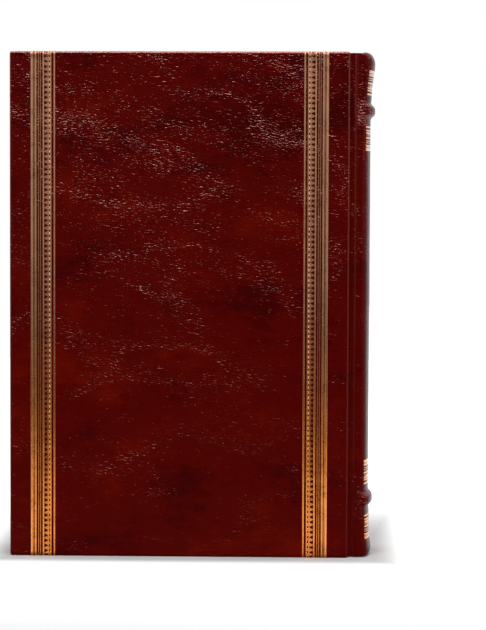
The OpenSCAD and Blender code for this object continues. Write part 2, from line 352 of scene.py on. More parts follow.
def millboard(name):
    # Grey millboard: pulped and rolled, speckled with fibre
    material, tree, shader, place = newMaterial(name)
    speck = noiseAt(tree, place, 1.2, 5, 0.75)
    colour = mixed(tree, ranged(tree, speck, 0.35, 0.65), hexColour("#6E6253"), hexColour("#94866F"))
    setSockets(tree, shader, {"Base Color": colour, "Normal": bumped(tree, speck, 0.05), "Roughness": 0.92})
    return material


coverSkin = leatherSkin("plated_calf_cover", leatherLook)
spineLeather = leatherSkin("plated_calf_spine", leatherLook, arris=0.15, gather=0.22)
gilt = giltFoil("blocked_gold_foil", giltLook)
edges = pageEdges("cut_page_edges", paperLook)
endpaper = sheetPaper("laid_endpaper", paperLook)
silk = sewingSilk("headband_silk_thread")
mull = mullCloth("glued_mull")
board = millboard("grey_millboard")
print("materials made")


# the roll, as laid flat: u runs across it in mm from its plain side, v along it

roll = {
    "bars": [  # start, width, wear
        (0.1, 0.95, 0.0), (1.05, 0.85, 0.85), (1.9, 0.7, 0.1), (3.3, 0.36, 0.5), (4.15, 0.36, 0.5),
        (5.25, 0.65, 0.1), (7.45, 0.55, 0.3), (8.54, 0.5, 0.1), (9.95, 0.7, 0.2)],
    "pressed": [(0.0, 2.6), (3.2, 3.75), (4.05, 4.6), (5.15, 9.1), (9.9, 10.7)],  # where the tool sank in
    "width": 10.7, "margin": 9.0, "spineGap": 6.6,
    "pitch": 2.2, "toothStart": 5.9, "toothWidth": 1.95, "toothHeight": 1.6, "toothTip": 0.4,
    "fieldEnd": 7.4,  # the toothed field ends here
    "dotStart": 8.0, "dotWidth": 0.54, "dotGap": 0.9,
    "rowMm": 0.55, "sinkMm": 0.06, "liftMm": 0.025, "filmMm": 0.05,
}


def newTree(name, floats, material):  # a geometry tree that takes these numbers and one material
    tree = bpy.data.node_groups.new(name, "GeometryNodeTree")
    for label in floats:
        tree.interface.new_socket(label, in_out="INPUT", socket_type="NodeSocketFloat")
    tree.interface.new_socket(material, in_out="INPUT", socket_type="NodeSocketMaterial")
    tree.interface.new_socket("Geometry", in_out="OUTPUT", socket_type="NodeSocketGeometry")
    return tree, addNode(tree, "NodeGroupInput").outputs, partial(maths, tree), partial(combined, tree)


def endTree(tree, geometry, material):
    done = addNode(tree, "GeometryNodeSetMaterial", {"Geometry": geometry, "Material": material})
    addNode(tree, "NodeGroupOutput", {0: done.outputs[0]})
    return tree


def rollTree(values):
    tree, given, calc, point = newTree("giltRoll", (
        "Length", "Pitch", "Tooth Width", "Tooth Height", "Dot Gap"), "Foil")
    length, pitch = given["Length"], given["Pitch"]

    def worn(geometry, amount):
        return addNode(tree, "GeometryNodeStoreNamedAttribute", {
            "Geometry": geometry, "Name": "wear", "Value": amount},
            data_type="FLOAT", domain="POINT").outputs[0]

    joined = addNode(tree, "GeometryNodeJoinGeometry")
    rows = calc("CEIL", calc("DIVIDE", length, values["rowMm"]))
    for start, width, wear in values["bars"]:
        bar = addNode(tree, "GeometryNodeMeshGrid", {
            "Size X": width, "Size Y": length, "Vertices X": 2, "Vertices Y": rows}).outputs["Mesh"]
        moved = addNode(tree, "GeometryNodeTransform", {
            "Geometry": bar, "Translation": (start + width / 2, 0, 0)}).outputs[0]
        tree.links.new(worn(moved, wear), joined.inputs[0])

    # one pitch of the toothed band: gold either side of a bare triangle, and a dash between two dots
    half = calc("MULTIPLY", pitch, 0.5)
    foot = calc("MULTIPLY", given["Tooth Width"], 0.5)
    tipU = calc("ADD", given["Tooth Height"], values["toothStart"])
    dash = calc("SUBTRACT", half, calc("MULTIPLY", given["Dot Gap"], 0.5))
    cell = addNode(tree, "GeometryNodeJoinGeometry")
    for side in (-1, 1):
        edge, base = calc("MULTIPLY", half, side), calc("MULTIPLY", foot, side)
        corners = (point(values["toothStart"], edge), point(values["toothStart"], base),
                   point(tipU, values["toothTip"] * side / 2), point(tipU, edge))
        inner = calc("SUBTRACT", edge, calc("MULTIPLY", dash, side))
        near, far = values["dotStart"], values["dotStart"] + values["dotWidth"]
        ends = (point(near, edge), point(near, inner), point(far, inner), point(far, edge))
        for four, wear in ((corners, 0.35), (ends, 0.4)):
            curve = addNode(tree, "GeometryNodeCurvePrimitiveQuadrilateral", {
                f"Point {i + 1}": four[i] for i in range(4)}, mode="POINTS")
            filled = addNode(tree, "GeometryNodeFillCurve", {"Curve": curve.outputs[0]}, mode="NGONS")
            tree.links.new(worn(filled.outputs[0], wear), cell.inputs[0])
    count = calc("FLOOR", calc("DIVIDE", length, pitch))
    first = calc("MULTIPLY", calc("MULTIPLY", calc("SUBTRACT", count, 1.0), pitch), -0.5)
    line = addNode(tree, "GeometryNodeMeshLine", {
        "Count": count, "Start Location": point(0.0, first), "Offset": point(0.0, pitch)}, mode="OFFSET")
    teeth = addNode(tree, "GeometryNodeInstanceOnPoints", {
        "Points": line.outputs[0], "Instance": cell.outputs[0]})
    tree.links.new(teeth.outputs[0], joined.inputs[0])
    real = addNode(tree, "GeometryNodeRealizeInstances", {"Geometry": joined.outputs[0]})
    return endTree(tree, real.outputs[0], given["Foil"])


def runTree(name, tree, inputs):  # the mesh that a tree makes, as a plain mesh
    seed = addObject(name, bpy.data.meshes.new(name))
    maker = seed.modifiers.new("maker", "NODES")
    maker.node_group = tree
    for item in tree.interface.items_tree:
        if item.in_out == "INPUT" and item.name in inputs:
            maker[item.identifier] = inputs[item.name]
    graph = bpy.context.evaluated_depsgraph_get()
    mesh = bpy.data.meshes.new_from_object(seed.evaluated_get(graph))
    bpy.data.objects.remove(seed)
    mesh.name = name
    return mesh


rollMaker = rollTree(roll)


def layRoll(name, lengthMm, onto, body):
    # onto(u, v) gives the place on the leather for a point of the flat roll
    mesh = runTree(name, rollMaker, {
        "Length": lengthMm, "Pitch": roll["pitch"], "Tooth Width": roll["toothWidth"],
        "Tooth Height": roll["toothHeight"], "Dot Gap": roll["dotGap"], "Foil": gilt})
    bm = bmesh.new()
    bm.from_mesh(mesh)
    for f in bm.faces:
        if f.normal.z < 0:
            f.normal_flip()
        f.smooth = not roll["toothStart"] < f.calc_center_median().x < roll["fieldEnd"]
    for v in bm.verts:
        v.co = onto(v.co.x, v.co.y)
    bm.normal_update()
    bm.to_mesh(mesh)
    bm.free()
    piece = addObject(name, mesh)
    film = piece.modifiers.new("film", "SOLIDIFY")
    film.thickness = roll["filmMm"] * mm
    film.offset = 0
    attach(piece, body)
    return piece


# covers

cover = {
    "roundMm": 1.05, "cornerMm": 0.75, "innerRoundMm": 0.6, "flangeMm": 15,
    "cellMm": 1.35, "rippleMm": 0.055, "rippleSpanMm": 16, "fineMm": 0.02, "fineSpanMm": 4.2,
    "pressFadeMm": 1.5, "leatherMm": 0.8,
}
edgeR = cover["roundMm"] * mm


def rollSpans():  # the strips of the cover that the roll pressed, as distances from the fore edge
    near = roll["margin"]
    far = (jointX - foreX) / mm - roll["margin"]
    spans = [(near + a, near + b) for a, b in roll["pressed"]]
    return spans + [(far - b, far - a) for a, b in roll["pressed"]]


coverSpans = rollSpans()


def pressedAt(distance, spans):  # 1 on the floor of a pressed strip, 0 beside it
    best = 0.0
    for a, b in spans:
        best = max(best, smooth(a - 0.08, a + 0.04, distance) * (1 - smooth(b - 0.04, b + 0.08, distance)))
    return best


def coverDip(x, z, seed):  # how far the outer face lies under its box, in metres
    place = Vector((x / mm, seed * 90.0, z / mm))
    wave = noise.noise(place / cover["rippleSpanMm"]) * cover["rippleMm"]
    wave += noise.noise(place / cover["fineSpanMm"] + Vector((7, 1, 3))) * cover["fineMm"]
    rim = min(x - foreX, jointX - x, z, coverH - z) / mm
    fade = smooth(0.6, 4, rim)
    ends = smooth(0.4, cover["pressFadeMm"], min(z, coverH - z) / mm - cover["roundMm"])
    press = roll["sinkMm"] * (0.35 + 0.65 * ends) * pressedAt((x - foreX) / mm, coverSpans)
    return ((0.075 - wave) * fade + press) * mm


def lineSet(low, high, cell, extra):
    # even places from low to high, opened out where an extra place falls
    places = sorted(extra)
    for p in steps(low, high, cell):
        if all(abs(p - e) > 0.3 * mm for e in extra):
            places.append(p)
    return sorted(set(round(p, 7) for p in places))


def makeCover(name, side, seed):
    # side -1 is the cover toward -Y, +1 the other
    xEdges = [d * mm for d in (0.25, 0.55, 0.95)]
    zEdges = [d * mm for d in (0.3, 0.7, 1.1)]
    x0, x1, z0, z1 = foreX + edgeR, jointX - edgeR, edgeR, coverH - edgeR
    bars = [foreX + (e + d) * mm for span in coverSpans for e, d in
            ((span[0], -0.09), (span[0], 0.05), (span[1], -0.05), (span[1], 0.09))]
    cell = cover["cellMm"] * mm
    xs = lineSet(x0, x1, cell, bars + [x0, x1] + [x0 + d for d in xEdges] + [x1 - d for d in xEdges])
    zs = lineSet(z0, z1, cell, [z0, z1] + [z0 + d for d in zEdges] + [z1 - d for d in zEdges])
    verts, faces = [], []
    for z in zs:
        for x in xs:
            verts.append((x, side * (outY - coverDip(x, z, seed)), z))
    wide, tall = len(xs), len(zs)
    for j in range(tall - 1):
        for i in range(wide - 1):
            a = j * wide + i
            faces.append((a, a + 1, a + wide + 1, a + wide))
    rim = list(range(wide))
    rim += [j * wide + wide - 1 for j in range(1, tall)]
    rim += [(tall - 1) * wide + i for i in range(wide - 2, -1, -1)]
    rim += [j * wide for j in range(tall - 2, 0, -1)]

    # rings that carry the rim over the edge, round it and in under the board
    def ringPlace(x, z, left, right, ends, radius):
        # the rim point moved out to a rectangle with these insets, its corners rounded
        px = foreX + left if x < x0 + 1e-6 else jointX - right if x > x1 - 1e-6 else x
        pz = ends if z < z0 + 1e-6 else coverH - ends if z > z1 - 1e-6 else z
        if left > edgeR:  # inside the board edge: pull the whole rim in
            px = min(max(px, foreX + left), jointX - right)
            pz = min(max(pz, ends), coverH - ends)
        cx = min(max(px, foreX + left + radius), jointX - right - radius)
        cz = min(max(pz, ends + radius), coverH - ends - radius)
        dx, dz = px - cx, pz - cz
        away = math.hypot(dx, dz)
        if away > radius > 0:
            px, pz = cx + dx / away * radius, cz + dz / away * radius
        return px, pz

    rings = []
    for k in range(1, 5):
        turn = math.radians(22.5 * k)
        inset, down = edgeR * (1 - math.sin(turn)), edgeR * (1 - math.cos(turn))
        rings.append((inset, inset, inset, outY - down, cover["cornerMm"] * math.sin(turn)))
    inner = cover["innerRoundMm"] * mm
    for k in range(0, 4):
        turn = math.radians(30 * k)
        inset = inner * (1 - math.cos(turn))
        rings.append((inset, inset, inset, inY + inner * (1 - math.sin(turn)), cover["cornerMm"] * math.cos(turn)))
    flange, thick = cover["flangeMm"] * mm, cover["leatherMm"] * mm
    rings += [(flange, thick, flange, inY, 0), (flange, thick, flange, boardInY, 0)]
    rings += [(thick, thick, thick, boardInY, 0), (thick, thick, thick, boardOutY, 0)]
    last = rim
    for left, right, ends, y, corner in rings:
        ring = []
        for index in rim:
            x, _, z = verts[index]
            px, pz = ringPlace(x, z, left, right, ends, corner * mm)
            ring.append(len(verts))
            verts.append((px, side * y, pz))
        for k in range(len(rim)):
            n = (k + 1) % len(rim)
            faces.append((last[n], last[k], ring[k], ring[n]))
        last = ring
    faces.append(tuple(last))
    piece = makePiece(name, verts, faces, coverSkin)
    return piece


for label, side in (("front", -1), ("back", 1)):
    skin = makeCover(label + "CoverSkin", side, 1 if side < 0 else 5)
    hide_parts(label + "_leather")
    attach(skin, label + "_cover")


def ontoCover(side, seed, fromJoint):
    def place(u, v):
        d = (roll["margin"] + u) * mm
        x = jointX - d if fromJoint else foreX + d
        past = abs(v) * mm - (coverH / 2 - edgeR)  # how far the strip has gone over the rounded edge
        z = coverH / 2 + math.copysign(min(abs(v) * mm, coverH / 2 - edgeR), v)
        lift = roll["liftMm"] * mm
        if past <= 0:
            return Vector((x, side * (outY - coverDip(x, z, seed) + lift), z))
        turn = min(past / edgeR, math.pi / 2)
        reach = edgeR + lift - coverDip(x, z, seed) * math.cos(turn)
        down = max(past - edgeR * math.pi / 2, 0)
        z += math.copysign(reach * math.sin(turn), v)
        return Vector((x, side * (outY - edgeR + reach * math.cos(turn) - down), z))
    return place


overEdge = (math.pi / 2 - 1) * cover["roundMm"] + 1.2  # round the edge and a little down it
for label, side, seed in (("front", -1, 1), ("back", 1, 5)):
    for where, fromJoint in (("fore", False), ("joint", True)):
        film = layRoll(label + "Gilt" + where.capitalize(), coverH / mm + 2 * overEdge,
                       ontoCover(side, seed, fromJoint), label + "_cover")
        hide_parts(label + "_gilt_" + where)
print("covers made")


# spine

spine = {
    # one side of the section in mm: out from the cover's edge, and from the middle of the book
    "section": [(0.5, 14.0), (1.3, 14.06), (1.9, 14.12), (2.35, 14.27), (2.75, 14.52), (3.2, 14.76),
                (3.8, 14.93), (4.4, 15.0), (5.0, 14.94), (5.6, 14.74), (6.2, 14.35), (6.7, 13.82),
                (7.15, 13.1), (7.6, 12.0), (8.05, 10.3), (8.45, 8.1), (8.8, 5.4), (9.03, 2.7), (9.1, 0.0)],
    "stepMm": 0.6, "rowMm": 1.3,
    "bandMm": {25: 1.75, 193: 2.0}, "bandHalfMm": 2.6,
    # height of the cap over the plain spine, by distance from the end
    "headCap": [(0.05, -0.8), (0.12, -0.35), (0.3, 0.1), (0.7, 0.6), (1.3, 1.05), (2.2, 1.5), (3.2, 1.85),
                (4.5, 2.0), (5.5, 1.98), (6.5, 1.87), (8.5, 1.6), (10.5, 1.35), (13, 1.0), (15, 0.75),
                (17, 0.62), (20, 0.52), (23, 0.1)],
    "tailCap": [(0.05, -0.6), (0.15, 0.0), (0.4, 0.45), (0.9, 0.85), (1.8, 1.12), (2.8, 1.22), (4, 1.16),
                (5.2, 1.0), (6.5, 0.8), (8, 0.65), (12, 0.5), (17, 0.42), (21, 0.2), (24, 0)],
    "archMm": 0.45, "archFadeMm": 12, "flapMm": 12, "flapT": 0.62, "roofInMm": 1.4, "roofMm": 1.0,
    "wrinkleMm": 0.26, "rippleMm": 0.05, "clearMm": 14.95, "clearSoftMm": 0.3,
}
spineTop = coverH / mm
bandPlaces = sorted(spine["bandMm"])
farRoll = roll["spineGap"] + roll["width"]
spineSpans = [(farRoll - b, farRoll - a) for a, b in roll["pressed"]]


def bandRise(z):  # z in mm
    return max(h * math.exp(-((z - at) / spine["bandHalfMm"]) ** 4) for at, h in spine["bandMm"].items())


def capRise(z):
    return between(spine["headCap"], spineTop - z) if z > spineTop / 2 else between(spine["tailCap"], z)


def bandReach(z):  # distance to the nearest band
    return min(abs(z - at) for at in bandPlaces)


def spineLift(out, y, z):
    # how far the leather stands off its plain section, in mm; out from the cover's edge, y across the back
    hold = smooth(2.2, 7.6, out)
    rise = (bandRise(z) + capRise(z)) * hold
    rise += noise.noise(Vector((y, 40.0, z)) / 11) * spine["rippleMm"] * hold
    near = 1 - smooth(2.5, 9, bandReach(z))
    pleat = noise.noise(Vector((y * 0.5 + out * 0.5, 11.0, z * 0.42)))
    pleat += 0.6 * noise.noise(Vector((y + out, 3.0, z * 0.95)))
    side = smooth(1.2, 2.6, out) * (1 - smooth(6.6, 8.2, out))
    rise += spine["wrinkleMm"] * near * side * (pleat - 0.25)
    if out > 6.4:
        rise -= roll["sinkMm"] * smooth(6.4, 6.9, out) * pressedAt(bandReach(z), spineSpans)
    return rise


def archDrop(y, z):  # the ends of the spine curve away toward the joints
    end = min(z, spineTop - z)
    return math.copysign(spine["archMm"] * smooth(11.5, 14.8, abs(y)) * (1 - smooth(2, spine["archFadeMm"], end)),
                         z - spineTop / 2)


def curveThrough(points, step):  # a smooth line through the points: place, outward direction, length so far
    padded = [points[0]] + points + [(points[-1][0], -points[-2][1])]
    line = []
    for a, b, c, d in zip(padded, padded[1:], padded[2:], padded[3:]):
        count = max(1, round(math.dist(b, c) / step))
        for i in range(count):
            t = i / count
            line.append(tuple(0.5 * (2 * q + (r - p) * t + (2 * p - 5 * q + 4 * r - s) * t * t
                                     + (3 * q - p - 3 * r + s) * t ** 3) for p, q, r, s in zip(a, b, c, d)))
    line.append(points[-1])
    curve, run = [], 0.0
    for i, place in enumerate(line):
        back, ahead = line[max(i - 1, 0)], line[i + 1] if i + 1 < len(line) else (place[0], -line[i - 1][1])
        along = Vector(ahead) - Vector(back)
        run += math.dist(place, back)
        curve.append((place, (-along.y / along.length, along.x / along.length), run))
    return curve


halfSection = curveThrough(spine["section"], spine["stepMm"])
fineSection = curveThrough(spine["section"], 0.1)


def onSection(v):  # place and direction on the section, v mm round it from the middle of the back
    want = fineSection[-1][2] - abs(v)
    for (a, na, la), (b, nb, lb) in zip(fineSection, fineSection[1:]):
        if want <= lb:
            t = (want - la) / (lb - la)
            place = [p + (q - p) * t for p, q in zip(a, b)]
            way = Vector([p + (q - p) * t for p, q in zip(na, nb)]).normalized()
            return place[0], math.copysign(place[1], v), way.x, math.copysign(way.y, v)
    return fineSection[-1][0][0], 0.0, 1.0, 0.0


def spinePlace(out, y, nx, ny, rise, z):
    across = y + ny * rise
    over = abs(across) - spine["clearMm"]
    if over > 0:  # a cover that is laid right back has to clear the side of the spine
        soft = spine["clearSoftMm"]
        across = math.copysign(spine["clearMm"] + soft * math.tanh(over / soft), across)
    return Vector((jointX + (out + nx * rise) * mm, across * mm, (z - archDrop(y, z)) * mm))


def makeSpine():
    section = [(out, y, nx, ny) for (out, y), (nx, ny), run in halfSection]
    section += [(out, -y, nx, -ny) for out, y, nx, ny in reversed(section[:-1])]
    extra = []
    for at in bandPlaces:
        for sign in (-1, 1):
            for a, b in spineSpans:
                extra += [at + sign * d for d in (a - 0.09, a + 0.05, b - 0.05, b + 0.09)]
        extra += steps(at - 4.2, at + 4.2, 0.42)
    more = [0.05, 0.12, 0.2, 0.3, 0.45, 0.65, 0.9, 1.2, 1.6, 2.1, 2.7, 3.3, 3.9, 4.6, 5.3, 6, 6.7, 7.4]
    extra += more + [spineTop - d for d in more]
    places = lineSet(0.05 * mm, (spineTop - 0.05) * mm, spine["rowMm"] * mm, [z * mm for z in extra])
    rows = [z / mm for z in places]

    columns = []
    for out, y, nx, ny in section:
        inside = 1 - smooth(11.6, 13.2, abs(y))
        thick = 0.5 + 0.5 * smooth(2.2, 4.5, out)
        loop = [(spineLift(out, y, z), z) for z in rows]
        for sign, rim in ((1, spineTop), (-1, 0)):  # the turned-in end, from its lip to the inner face
            lip = spineLift(out, y, rim - sign * 0.05)
            reach = -thick - spine["roofInMm"] * inside
            flap = -thick - spine["flapT"] * inside
            turned = [(lip * 0.5 + reach * 0.5, rim - sign * 0.02), (reach, rim - sign * 0.2),
                      (reach - 0.08 * inside, rim - sign * 0.6), (reach, rim - sign * spine["roofMm"]),
                      (flap, rim - sign * (0.3 + spine["roofMm"])), (flap, rim - sign * spine["flapMm"]),
                      (-thick, rim - sign * (spine["flapMm"] + 0.4))]
            loop += turned if sign > 0 else turned[::-1]
        columns.append([spinePlace(out, y, nx, ny, rise, z) for rise, z in loop])
    tall = len(columns[0])
    verts = [p for column in columns for p in column]
    faces = []
    for i in range(len(columns) - 1):
        for j in range(tall):
            k = (j + 1) % tall
            faces.append((i * tall + j, (i + 1) * tall + j, (i + 1) * tall + k, i * tall + k))
    faces.append(tuple(range(tall)))
    faces.append(tuple(range(len(verts) - 1, len(verts) - tall - 1, -1)))
    return makePiece("spineSkin", verts, faces, spineLeather, 50)


spineCover = makeSpine()
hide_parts("spine_leather")
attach(spineCover, "book_block")


def ontoSpine(at, sign):
    def place(u, v):  # u from the side farthest from the band
        z = at + sign * (farRoll - u)
        out, y, nx, ny = onSection(v)
        return spinePlace(out, y, nx, ny, spineLift(out, y, z) + roll["liftMm"], z)
    return place


# half the length of a roll, from the middle of the back to where the solid one ends
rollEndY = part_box("spine_gilt_1")[1][1] / mm
rollEnd = next(fineSection[-1][2] - run for (out, y), way, run in fineSection if out > 5 and y < rollEndY)
for number, (at, sign) in enumerate([(at, sign) for at in bandPlaces for sign in (-1, 1)]):
    film = layRoll(f"spineGilt{number + 1}", 2 * rollEnd, ontoSpine(at, sign), "book_block")
    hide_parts(f"spine_gilt_{number + 1}")
print("spine made")


# joints: strips of leather and paper laid over the joints

joint = {
    "outer": [(-0.25, 14.5), (0.05, 14.34), (0.5, 14.22), (1.2, 14.2), (1.7, 14.21), (2.1, 14.28), (2.5, 14.42),
              (2.72, 14.58), (2.88, 14.74), (2.96, 14.84)],
    "thick": 0.5, "rowMm": 1.2, "wrinkleMm": 0.2, "startMm": 0.1, "endMm": 2.4,
    "paper": [(-3.2, 13.53), (-2, 13.53), (-1, 13.52), (0, 13.5), (0.6, 13.49), (1.2, 13.48), (1.8, 13.48),
              (2.4, 13.48), (2.9, 13.48)],
    "paperT": 0.1, "foldMm": 14.2,
}


def makeStrip(name, side, outline, thick, material, low, high, wrinkle):
    rows = steps(low, high, joint["rowMm"])
    outer = list(outline)
    inner = [(a + (0.05 if a > 2.6 else 0), b - thick) for a, b in reversed(outline)]
    verts, faces = [], []
    for z in rows:
        near = 1 - smooth(3, 10, bandReach(z))
        for a, b in outer + inner:
            lift = 0
            if wrinkle and 0.3 < a < 2.6 and (a, b) in outer:
                ruck = noise.noise(Vector((a * 0.9, side * 20.0, z * 0.5)))
                lift = joint["wrinkleMm"] * (0.22 + 0.78 * near) * ruck
            verts.append((jointX + a * mm, side * (b + lift) * mm, z * mm))
    ring = len(outer) + len(inner)
    for j in range(len(rows) - 1):
        for i in range(ring):
            k = (i + 1) % ring
            faces.append((j * ring + i, j * ring + k, (j + 1) * ring + k, (j + 1) * ring + i))
    faces.append(tuple(range(ring)))
    faces.append(tuple(range(len(verts) - 1, len(verts) - ring - 1, -1)))
    return makePiece(name, verts, faces, material, 50)


for label, side in (("front", -1), ("back", 1)):
    strips = (makeStrip(label + "JointSkin", side, joint["outer"], joint["thick"], coverSkin,
                        0.5, spineTop - 0.5, True),
              makeStrip(label + "JointPaper", side, joint["paper"], joint["paperT"], endpaper,
                        pagesLow[2] / mm, pagesHigh[2] / mm, False))
    for strip, kind in zip(strips, ("leather", "endpaper")):
        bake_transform(strip)
print("joints made")


# pages

pages = {"leafMm": 0.3, "gapMm": 0.02, "shiftMm": 0.1, "waveMm": 0.06, "rows": 26, "seed": 4, "lipMm": 0.3}


def pageTree():
    # a stack of leaves whose ends follow the hollow of the fore edge and the round of the back
    tree, given, calc, vector = newTree("pageStack", (
        "Leaf", "Gap", "Half Stack", "Back Centre", "Fore Centre", "Radius", "Low", "High",
        "Shift", "Wave", "Seed"), "Paper")

    def scatter(amount, offset, low=-1.0):
        node = addNode(tree, "FunctionNodeRandomValue", {
            2: low, 3: 1.0, "Seed": calc("ADD", given["Seed"], offset)}, data_type="FLOAT")
        return calc("MULTIPLY", node.outputs[1], amount)

    count = calc("FLOOR", calc("DIVIDE", calc("MULTIPLY", given["Half Stack"], 2.0), given["Leaf"]))
    pitch = calc("DIVIDE", calc("MULTIPLY", given["Half Stack"], 2.0), count)
    first = calc("MULTIPLY_ADD", pitch, 0.5, calc("MULTIPLY", given["Half Stack"], -1.0))
    line = addNode(tree, "GeometryNodeMeshLine", {
        "Count": count, "Start Location": vector(0.0, first), "Offset": vector(0.0, pitch)}, mode="OFFSET")
    place = addNode(tree, "ShaderNodeSeparateXYZ", {0: addNode(tree, "GeometryNodeInputPosition").outputs[0]})
    squareY = calc("POWER", place.outputs["Y"], 2.0)
    reach = calc("SQRT", calc("SUBTRACT", calc("POWER", given["Radius"], 2.0), squareY))
    fore = calc("ADD", calc("ADD", given["Fore Centre"], reach), scatter(given["Shift"], 1, 0.0))
    back = calc("ADD", given["Back Centre"], reach)
    low = calc("ADD", given["Low"], scatter(given["Shift"], 2, 0.0))
    high = calc("SUBTRACT", given["High"], scatter(given["Shift"], 3, 0.0))
    middle = vector(calc("MULTIPLY", calc("ADD", fore, back), 0.5), place.outputs["Y"],
                    calc("MULTIPLY", calc("ADD", low, high), 0.5))
    leafT = calc("SUBTRACT", pitch, given["Gap"])
    leaf = addNode(tree, "GeometryNodeMeshCube", {
        "Size": (1, 1, 1), "Vertices X": 3, "Vertices Y": 2, "Vertices Z": pages["rows"]})
    spots = addNode(tree, "GeometryNodeSetPosition", {"Geometry": line.outputs[0], "Position": middle})
    size = vector(calc("SUBTRACT", back, fore), leafT, calc("SUBTRACT", high, low))
    kept = addNode(tree, "GeometryNodeCaptureAttribute", {"Geometry": line.outputs[0]})
    kept.capture_items.new("VECTOR", "size")
    tree.links.new(size, kept.inputs[1])
    tree.links.new(kept.outputs[0], spots.inputs["Geometry"])
    stack = addNode(tree, "GeometryNodeInstanceOnPoints", {
        "Points": spots.outputs[0], "Instance": leaf.outputs["Mesh"], "Scale": kept.outputs[1]})
    real = addNode(tree, "GeometryNodeRealizeInstances", {"Geometry": stack.outputs[0]})
    # leaves are never quite straight: a slow wave moves the edge of the stack in and out
    wave = addNode(tree, "ShaderNodeTexNoise", {"Scale": 0.02, "Detail": 1.0, "Vector": vector(
        place.outputs["X"], calc("MULTIPLY", place.outputs["Y"], 14.0), place.outputs["Z"])})
    swing = calc("MULTIPLY", calc("SUBTRACT", wave.outputs["Fac"], 0.35), given["Wave"])
    inward = calc("LESS_THAN", place.outputs["X"], 0.0)
    moved = addNode(tree, "GeometryNodeSetPosition", {
        "Geometry": real.outputs[0], "Offset": vector(calc("MULTIPLY", swing, inward), 0.0, 0.0)})
    return endTree(tree, moved.outputs[0], given["Paper"])


# the hollow and the back of the block have one radius, found from its box and the flyleaf's
blockHalf = pagesHigh[1] / mm
backRise = (pagesHigh[0] - flyHigh[0]) / mm
blockR = (blockHalf ** 2 + backRise ** 2) / (2 * backRise)
arcX = pagesHigh[0] - blockR * mm
foreCentre = arcX / mm - (flyHigh[0] - pagesLow[0]) / mm - pages["lipMm"]
stackMesh = runTree("pageStack", pageTree(), {
    "Leaf": pages["leafMm"], "Gap": pages["gapMm"], "Half Stack": blockHalf, "Back Centre": arcX / mm,
    "Fore Centre": foreCentre, "Radius": blockR, "Low": pagesLow[2] / mm, "High": pagesHigh[2] / mm,
    "Shift": pages["shiftMm"], "Wave": pages["waveMm"], "Seed": float(pages["seed"]), "Paper": edges})
stackMesh.transform(Matrix.Scale(mm, 4))
stack = addObject("pageStack", stackMesh)
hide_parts("text_block")
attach(stack, "book_block")
print("pages made")


# headbands: silk wound over the CAD cores at both ends

wound = {"threadMm": 0.42, "coreMm": 0.8, "pitchMm": 0.5, "sides": 7, "turns": 18}


def windTree():
    tree, given, calc, vector = newTree("silkWrap", (
        "Arc Radius", "Arc Centre", "Height", "Half Width", "Core", "Thread", "Pitch"), "Silk")

    span = calc("ARCSINE", calc("DIVIDE", given["Half Width"], given["Arc Radius"]))
    count = calc("FLOOR", calc("DIVIDE", calc("MULTIPLY", calc("MULTIPLY", span, 2.0), given["Arc Radius"]),
                               given["Pitch"]))
    line = addNode(tree, "GeometryNodeMeshLine", {"Count": count, "Offset": (0, 0, 0)}, mode="OFFSET")
    index = addNode(tree, "GeometryNodeInputIndex").outputs[0]
    part = calc("DIVIDE", index, calc("SUBTRACT", count, 1.0))
    turn = calc("MULTIPLY", calc("SUBTRACT", calc("MULTIPLY", part, 2.0), 1.0), span)
    along = vector(calc("MULTIPLY_ADD", calc("COSINE", turn), given["Arc Radius"], given["Arc Centre"]),
                   calc("MULTIPLY", calc("SINE", turn), given["Arc Radius"]), given["Height"])
    spots = addNode(tree, "GeometryNodeSetPosition", {"Geometry": line.outputs[0], "Position": along})
    ring = addNode(tree, "GeometryNodeCurvePrimitiveCircle", {
        "Resolution": wound["turns"], "Radius": calc("MULTIPLY_ADD", given["Thread"], 0.3, given["Core"])})
    strand = addNode(tree, "GeometryNodeCurvePrimitiveCircle", {
        "Resolution": wound["sides"], "Radius": calc("MULTIPLY", given["Thread"], 0.5)})
    thread = addNode(tree, "GeometryNodeCurveToMesh", {
        "Curve": ring.outputs[0], "Profile Curve": strand.outputs[0]})
    upright = addNode(tree, "GeometryNodeTransform", {
        "Geometry": thread.outputs[0], "Rotation": (math.pi / 2, 0, 0)})
    wraps = addNode(tree, "GeometryNodeInstanceOnPoints", {
        "Points": spots.outputs[0], "Instance": upright.outputs[0], "Rotation": vector(0.0, 0.0, turn)})
    pair = calc("MODULO", calc("FLOOR", calc("DIVIDE", index, 2.0)), 2.0)  # two turns of each colour
    kept = addNode(tree, "GeometryNodeStoreNamedAttribute", {
        "Geometry": wraps.outputs[0], "Name": "turn", "Value": pair}, data_type="FLOAT", domain="INSTANCE")
    real = addNode(tree, "GeometryNodeRealizeInstances", {"Geometry": kept.outputs[0]})
    return endTree(tree, real.outputs[0], given["Silk"])


winder = windTree()
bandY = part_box("headband")[1][1]
for name, level in (("headbandSilk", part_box("headband")[1][2] - wound["coreMm"] * mm),
                    ("tailbandSilk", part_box("tailband")[0][2] + wound["coreMm"] * mm)):
    mesh = runTree(name, winder, {
        "Arc Radius": blockR - wound["coreMm"] - 0.1, "Arc Centre": arcX / mm, "Height": level / mm,
        "Half Width": bandY / mm - 0.3, "Core": wound["coreMm"], "Thread": wound["threadMm"],
        "Pitch": wound["pitchMm"], "Silk": silk})
    mesh.transform(Matrix.Scale(mm, 4))
    mesh.polygons.foreach_set("use_smooth", [True] * len(mesh.polygons))
    piece = addObject(name, mesh)
    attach(piece, "book_block")
print("headbands made")


# the solids that stay: boards, linings, flyleaves, pastedowns

